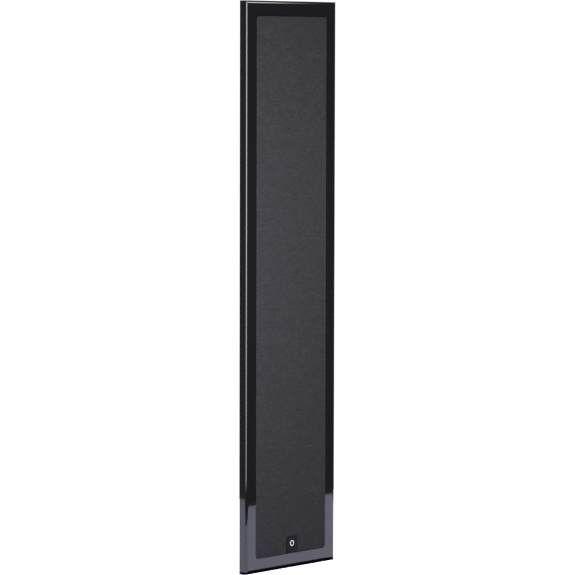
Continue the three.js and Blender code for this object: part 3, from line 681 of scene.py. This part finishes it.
def woofer(level, centre):
    """A vented basket and its motor, with the cone, cap and coil that move in it, and its spider and
    surround.
    """
    back = [
        (34, -15.2, 0.6), (15.5, -15.2, 0.2), (15.5, -16.4, 0.2),
        (32.8, -16.4, 0.6), (44.6, -31, 0.4), (42.8, -31, 0.1),
    ]
    basket = lathe(f"basket_{level}", flange(back), (0, 0, centre), 96)
    vents = []
    for k in range(6):
        vent = block(f"vent_{k}", 10, 3.7, -14, 14, 2.2, 0.3)
        vent.matrix_world = (
            Matrix.Translation((0, 0, centre * MM))
            @ Matrix.Rotation(TAU * (k + 0.5) / 6, 4, "Y")
            @ Matrix.Translation((40 * MM, -22.3 * MM, 0))
            @ Matrix.Rotation(math.pi / 2, 4, "X")
        )
        vents.append(vent)
    bpy.context.view_layer.update()
    piece(carved(basket, vents), "cabinet", "matte_black", f"woofer_basket_{level}")
    flange_screws("woofer", level, centre)

    cup = soften([
        (0, -6.3, 0), (21, -6.3, 0.8), (21, -14.9, 0.5),
        (14.2, -14.9, 0.3), (14.2, -7.5, 0.1), (0, -7.5, 0),
    ])
    turned(f"motor_{level}", cup, "cabinet", "steel", f"motor_cup_{level}", centre, closed=False)
    slug = soften([
        (0, -7.8, 0), (12.2, -7.8, 0.2), (12.2, -13.1, 0.15), (11.9, -13.25, 0.1),
        (12.2, -13.4, 0.15), (12.2, -15.6, 0.4), (0, -15.6, 0),
    ])
    turned(f"pole_{level}", slug, "cabinet", "steel", f"magnet_slug_{level}", centre, 72, closed=False)

    moving = f"woofer_moving_{level}"
    front = [
        (13.6, -24.8), (16, -25.7), (19, -26.8), (22, -27.85), (25, -28.88),
        (29, -30.2), (33, -31.45), (36.4, -32.5), (37, -32.6),
    ]
    cone = thickened(front, 0.65)
    turned(f"cone_{level}", cone, moving, "aluminium", f"woofer_cone_{level}", centre, 120)
    dome, dome_steps = [], 14
    for k in range(dome_steps + 1):
        turn = math.pi / 2 * k / dome_steps
        dome.append((16.3 * math.sin(turn), -26.3 - 3.2 * math.cos(turn)))
    cap = thickened(dome, 0.4)
    turned(f"cap_{level}", cap, moving, "paper_black", f"dust_cap_{level}", centre, closed=False)
    wires = [(13.3 - (0.1 if k % 2 else 0), -10.7 - 0.2 * k) for k in range(30)]
    tube = [(12.95, -10.6), *wires, (13.1, -16.7), (13.1, -25), (12.95, -25)]
    turned(f"coil_{level}", tube, moving, "copper", f"voice_coil_{level}", centre, 72)

    steps, waves = 56, 5
    line = []
    for k in range(steps + 1):
        t = k / steps
        ripple = 0.32 * (1 - math.cos(TAU * waves * t))
        line.append((13.7 + 14.3 * t, -20 + 2.9 * t - ripple))
    line.append((31.4, -17.1))
    profile = thickened(line, 0.38)
    soft_ring(f"damper_{level}", f"spider_{level}", centre, profile, "spider_cloth", 14, 28)
    surround("woofer", level, centre)


def passive(level, centre):
    """A passive radiator: a frame, and a dished plate on its own surround with a mass behind it."""
    back = flange([(46, -25.5, 0.3), (44.4, -25.5, 0.3), (44.4, -31, 0.1), (42.8, -31, 0.1)])
    turned(f"frame_{level}", back, "cabinet", "matte_black", f"passive_frame_{level}", centre)
    flange_screws("passive", level, centre)
    moving = f"passive_moving_{level}"
    face = soften([
        (0, -31.6, 0), (29, -31.6, 1.2), (33, -32.8, 1.2), (37, -32.8, 0.2),
        (37, -32, 0.2), (33.3, -32, 1.0), (29.3, -30.8, 1.0), (0, -30.8, 0),
    ])
    turned(f"plate_{level}", face, moving, "aluminium", f"passive_plate_{level}", centre, 120, False)
    mass = soften([(0, -30.5, 0), (15, -30.5, 0.4), (15, -26.5, 0.8), (0, -26.5, 0)])
    turned(f"mass_{level}", mass, moving, "steel", f"passive_mass_{level}", centre, 72, False)
    surround("passive", level, centre)


def tweeter():
    """A folded ribbon behind a moulded faceplate with a flared window."""
    half_x, half_z, border, shorter = 30, 66.5, 15, 19.5
    section = [(0, SEAT, 0.1), (0, RIM, 0.5), (12.4, RIM, 1.6)]
    section += [(border, -31.9, 0.8), (border, SEAT, 0.1)]
    loops = []
    for inset, y in soften(section, closed=True, steps=5):
        share = min(1.0, inset / border)
        loops.append(rounded_loop(half_x - inset, half_z - inset - shorter * share, 3 + share, y))
    piece(loft("ribbon_face", loops, closed=True), "cabinet", "matte_black", "tweeter_faceplate")
    for i, (x, z) in enumerate([(x, z) for x in (-25.5, 25.5) for z in (-60, -20, 20, 60)]):
        screw(f"ribbon_screw_{i}", x, RIM, z, -1, 1.9, 0.55)

    half, pleats, steps, middle, depth = 13, 10, 12, -27.75, 1.95
    line = []
    for k in range(pleats * steps + 1):
        t = k / steps
        swing = math.cos(TAU * t)
        fold = depth * swing * (1.25 - 0.25 * swing * swing)
        line.append((-half + 2 * half * t / pleats, middle - fold))
    loops = [[(x, y, z) for x, y in thickened(line, 0.42)] for z in (-30, -15, 0, 15, 30)]
    piece(loft("ribbon_film", loops, sharp=70), "cabinet", "foil", "tweeter_diaphragm")


# ---------------------------------------------------------------- crossover


def crossover():
    """Two wound chokes and two capacitors, all with their backs at Y = top."""
    top = -9.5
    for name, node, inner, outer, height, x, z in (
        ("large_choke", "woofer_inductor", 5, 14, 10, -27, -237),
        ("small_choke", "tweeter_inductor", 3, 9, 7.5, -1, -230),
    ):
        front = top - height
        ring = [(inner, front, 0.3), (outer, front, 0.5), (outer, top, 0.5), (inner, top, 0.3)]
        piece(lathe(name, soften(ring, closed=True), (x, 0, z), 72), "cabinet", "copper", node)
    for name, node, radius, length, z in (
        ("long_capacitor", "capacitor_large", 5.5, 28, -231),
        ("short_capacitor", "capacitor_small", 4, 22, -246),
    ):
        end, dent = -length / 2, 0.5
        outline = [(0, end + dent, 0), (radius - 1, end + dent, 0.2)]
        outline += [(radius - 0.6, end, 0.2), (radius, end, 0.4)]
        outline += [(r, -h, f) for r, h, f in reversed(outline)]
        body = lathe(name, soften(outline), (0, 0, 0), 64, "Z", closed=False)
        body.data.transform(Matrix.Rotation(math.pi / 2, 4, "Y"))
        body.location = (25 * MM, (top - radius) * MM, z * MM)
        piece(body, "cabinet", "film_yellow", node)


# ---------------------------------------------------------------- grille


def grille():
    """A moulded frame with magnets, and a knit stretched over its front and round its sides."""
    section = [(0, -31.6, 0.3), (0, -39.45, 1.3), (4.4, -39.45, 0.6), (5, -38.2, 0.6), (5, -31.6, 0.3)]
    loops = []
    for inset, y in soften(section, closed=True, steps=5):
        loops.append(rounded_loop(60.65 - inset, 307.35 - inset, max(3.2 - inset, 0.8), y))
    parts = [loft("grille_ring", loops, closed=True)]
    for z in (-175, -68, 68, 175):
        parts.append(block("bar", 56.5, 1.5, -38.9, -37.4, 0.5, 0.3, centre=(0, z)))
    piece(joined("grille_moulding", *parts), "grille", "matte_black", "grille_frame")
    magnet = soften([(0, -31.2, 0), (1.6, -31.2, 0.25), (1.6, -32.5, 0), (0, -32.5, 0)])
    for i, (x, z) in enumerate([(x, z) for x in (-58.15, 58.15) for z in (-250, -90, 90, 250)]):
        dot = lathe(f"grille_magnet_{i}", magnet, (x, 0, z), 40, closed=False)
        piece(dot, "grille", "steel")

    half_x, half_z, front, hem, thick = 61.1, 307.8, -39.8, -36, 0.3
    behind = front + thick
    outside = soften([(1.5, front, 0), (0, front, 1.25), (0, hem, 0)], steps=8)
    inside = soften([(1.5, behind, 0), (thick, behind, 0.95), (thick, hem, 0)], steps=8)
    loops = []
    for inset, y in outside + inside[::-1]:
        loops.append(rounded_loop(half_x - inset, half_z - inset, max(3.6 - inset, 0.6), y, steps=10))
    cloth = piece(loft("stretched_cloth", loops), "grille", "grille_cloth", "grille_cloth")

    low, high = -half_z, -288.3
    middle, half = (low + high) / 2, (high - low) / 2
    badge = block("badge_tile", 9.25, half, -40.95, -39.75, 0.8, 0.3, centre=(0, middle))
    piece(badge, "grille", "gloss_black", "badge_plate", look=SATIN_BLACK)
    mark = [(2.3, -41, 0.05), (2.3, -40.8, 0), (3.3, -40.8, 0), (3.3, -41, 0.05)]
    mark = soften(mark, closed=True, steps=3)
    piece(lathe("badge_ring", mark, (0, 0, -296.3), 72), "grille", "aluminium", look=BRIGHT_MARK)


# ---------------------------------------------------------------- CAD nodes that keep their shape


def carried_over():
    dress("baffle", "matte_black", 0.3)
    dress("rear_shell", "shell_black", 0.9)
    dress("shell_gasket", "rubber", 0.15)
    dress("terminal_cup", "shell_black", 0.4)
    dress("tweeter_housing", "steel", 0.3)
    dress("tweeter_rear_cup", "matte_black", 0.6)
    dress("crossover_board", "board_resin", 0.1)
    dress("resistor", "ceramic", 0.5)
    for level in LEVELS:
        dress(f"chamber_divider_{level}", "shell_black", 0.3)
    for lead, slot in (
        ("input_lead_red", "red_plastic"), ("input_lead_black", "matte_black"),
        ("tweeter_lead", "red_plastic"), ("woofer_lead", "lead_grey"),
    ):
        dress(lead, slot)


# ---------------------------------------------------------------- studio


def glow(name, colour, strength, build):
    """An emission material. build returns a socket that scales its strength."""
    look = Look(name)
    look.tree.nodes.remove(look.shader)
    scaled = look.math("MULTIPLY", build(look), strength)
    light = look.node("Emission", {"Color": (*colour, 1), "Strength": scaled})
    out = next(n for n in look.tree.nodes if n.type == "OUTPUT_MATERIAL")
    look.tree.links.new(light.outputs[0], out.inputs["Surface"])
    return look.material


def card(name, centre, across, width, low, high, strength, soft, foot=1.0, climb=1.0, tail=0.0):
    """An upright panel of light with soft edges, which only reflections see. It grows from foot to full
    over climb metres of height, and past its far edge a dim tail fades out over tail metres."""
    faint = 0.45
    side = Vector((*across, 0)).normalized() * width / 2
    bottom, top = Vector((*centre, low)), Vector((*centre, high))
    corners = [bottom - side, bottom + side, top + side, top - side]
    mesh = bpy.data.meshes.new(name)
    mesh.from_pydata(corners, [], [(0, 1, 2, 3)])
    sheet = mesh.uv_layers.new(name="sheet")
    for loop, uv in zip(sheet.data, ((0, 0), (1, 0), (1, 1), (0, 1))):
        loop.uv = uv

    def faded(look):
        uv = look.node("TexCoord").outputs["UV"]
        parts = look.node("SeparateXYZ", {0: uv}).outputs
        share = look.ranged(parts[1], foot, 1, 0, climb / (high - low))
        for axis, size, spare in ((0, width, tail), (1, high - low, 0.0)):
            rise = look.ranged(parts[axis], 0, 1, 0, soft / size, smooth=True)
            turn, edge = 1 - (spare + soft) / size, 1 - spare / size
            fall = look.ranged(parts[axis], 1, 0, turn, edge, smooth=True)
            dim = look.ranged(parts[axis], faint, 0, turn, 1, smooth=True)
            fall = look.math("MAXIMUM", fall, dim)
            share = look.math("MULTIPLY", look.math("MULTIPLY", rise, fall), share)
        return share

    mesh.materials.append(glow(name, (1.0, 0.97, 1.0), strength, faded))
    obj = bpy.data.objects.new(name, mesh)
    bpy.context.scene.collection.objects.link(obj)
    obj.visible_camera = obj.visible_diffuse = obj.visible_shadow = False


def floor():
    """A plain pale floor level with the panel's lower edge. In reflections it is dark near the panel,
    where a real floor would lie in the panel's shade."""
    level, side, front, back = -HALF_HEIGHT * MM, 0.575, -0.42, 0.40
    slab_y, slab_half = -0.034, 0.005
    corners = [(-side, front, level), (side, front, level), (side, back, level), (-side, back, level)]
    mesh = bpy.data.meshes.new("floor")
    mesh.from_pydata(corners, [], [(0, 1, 2, 3)])

    def shaded(look):
        x, y, _ = look.node("SeparateXYZ", {0: look.place}).outputs
        squares = []
        for offset, half in ((x, HALF_WIDTH * MM), (look.math("SUBTRACT", y, slab_y), slab_half)):
            past = look.math("SUBTRACT", look.math("ABSOLUTE", offset), half)
            squares.append(look.math("POWER", look.math("MAXIMUM", past, 0.0), 2.0))
        away = look.math("SQRT", look.math("ADD", *squares))
        near = look.ranged(away, 0.01, 1, 0.013, 0.023, smooth=True)
        seen = look.node("LightPath").outputs
        lit = look.math("MULTIPLY", near, seen["Is Glossy Ray"])
        plain = look.math("SUBTRACT", 1.0, seen["Is Glossy Ray"])
        return look.math("ADD", lit, plain)

    mesh.materials.append(glow("pale_floor", (0.93, 0.925, 1.17), 2.12, shaded))
    obj = bpy.data.objects.new("floor", mesh)
    bpy.context.scene.collection.objects.link(obj)
    obj.visible_diffuse = False


def room():
    """White behind the object, a dim soft room in what it reflects, and less still as diffuse light."""
    world = bpy.data.worlds.new("room")
    bpy.context.scene.world = world
    world.use_nodes = True
    tree = world.node_tree
    tree.nodes.clear()
    seen = tree.nodes.new("ShaderNodeLightPath").outputs
    across = tree.nodes.new("ShaderNodeSeparateXYZ")
    tree.links.new(tree.nodes.new("ShaderNodeTexCoord").outputs["Generated"], across.inputs[0])
    side = tree.nodes.new("ShaderNodeMapRange")
    tree.links.new(across.outputs["X"], side.inputs["Value"])
    for socket, value in (("From Min", -0.8), ("From Max", 0.7), ("To Min", 0.28), ("To Max", 0.17)):
        side.inputs[socket].default_value = value

    def background(colour, strength):
        shade = tree.nodes.new("ShaderNodeBackground")
        shade.inputs["Color"].default_value = (*colour, 1)
        if isinstance(strength, bpy.types.NodeSocket):
            tree.links.new(strength, shade.inputs["Strength"])
        else:
            shade.inputs["Strength"].default_value = strength
        return shade.outputs[0]

    def chosen(test, off, on):
        mix = tree.nodes.new("ShaderNodeMixShader")
        for socket, source in enumerate((test, off, on)):
            tree.links.new(source, mix.inputs[socket])
        return mix.outputs[0]

    diffuse = background((1, 0.98, 1.04), 0.08)
    mirrored = background((0.97, 0.93, 1.15), side.outputs[0])
    behind = background((1, 1, 1), 1.08)
    surroundings = chosen(seen["Is Glossy Ray"], diffuse, mirrored)
    whole = chosen(seen["Is Camera Ray"], surroundings, behind)
    tree.links.new(whole, tree.nodes.new("ShaderNodeOutputWorld").inputs[0])


def lamp(name, place, aim, size, power):
    """A soft square lamp that lights surfaces but isn't mirrored in them."""
    light = bpy.data.lights.new(name, "AREA")
    light.shape, light.size, light.energy = "SQUARE", size, power
    obj = bpy.data.objects.new(name, light)
    obj.location = place
    obj.rotation_euler = (Vector(aim) - Vector(place)).to_track_quat("-Z", "Y").to_euler()
    obj.visible_camera = obj.visible_glossy = False
    bpy.context.scene.collection.objects.link(obj)


def camera():
    aim, distance = Vector((-0.00648, -0.0387, -0.00141)), 3.8377
    yaw, pitch, roll = (math.radians(a) for a in (49.75, 3.9156, 0.13))
    ahead = Vector((math.sin(yaw) * math.cos(pitch), math.cos(yaw) * math.cos(pitch), -math.sin(pitch)))
    level = Vector((math.cos(yaw), -math.sin(yaw), 0))
    right = level * math.cos(roll) + level.cross(ahead) * math.sin(roll)
    up = right.cross(ahead)
    data = bpy.data.cameras.new("camera")
    data.lens, data.sensor_width, data.clip_start = 210.03, 36, 0.01
    obj = bpy.data.objects.new("camera", data)
    turn = Matrix((right, up, -ahead)).transposed().to_4x4()
    obj.matrix_world = Matrix.Translation(aim - distance * ahead) @ turn
    bpy.context.scene.collection.objects.link(obj)
    bpy.context.scene.camera = obj


bezel()
wall_pads()
keyhole_plates()
shell_screws()
binding_posts()
for level_name, sign in LEVELS.items():
    woofer(level_name, sign * WOOFER_Z)
    passive(level_name, sign * PASSIVE_Z)
tweeter()
crossover()
grille()
carried_over()

floor()
room()
card(
    "front_card", centre=(0.09, -0.869), across=(0.981, 0.194), width=0.23, low=-0.345, high=0.62,
    strength=12.5, soft=0.025, foot=0.45, climb=0.36,
)
card(
    "upper_card", centre=(0.551, -0.660), across=(0.6, 0.8), width=0.437, low=0.51, high=0.64,
    strength=10, soft=0.028, tail=0.056,
)
lamp("key", place=(-0.17, -0.50, 0.10), aim=(0, -0.04, 0.07), size=0.3, power=2.35)
lamp("side", place=(-0.70, -0.25, 0.04), aim=(0, -0.04, 0.04), size=0.25, power=4.2)
lamp("back", place=(0.7, 1.3, 0.8), aim=(0, 0, 0), size=0.9, power=24)
camera()
bpy.context.scene.view_settings.view_transform = "Standard"
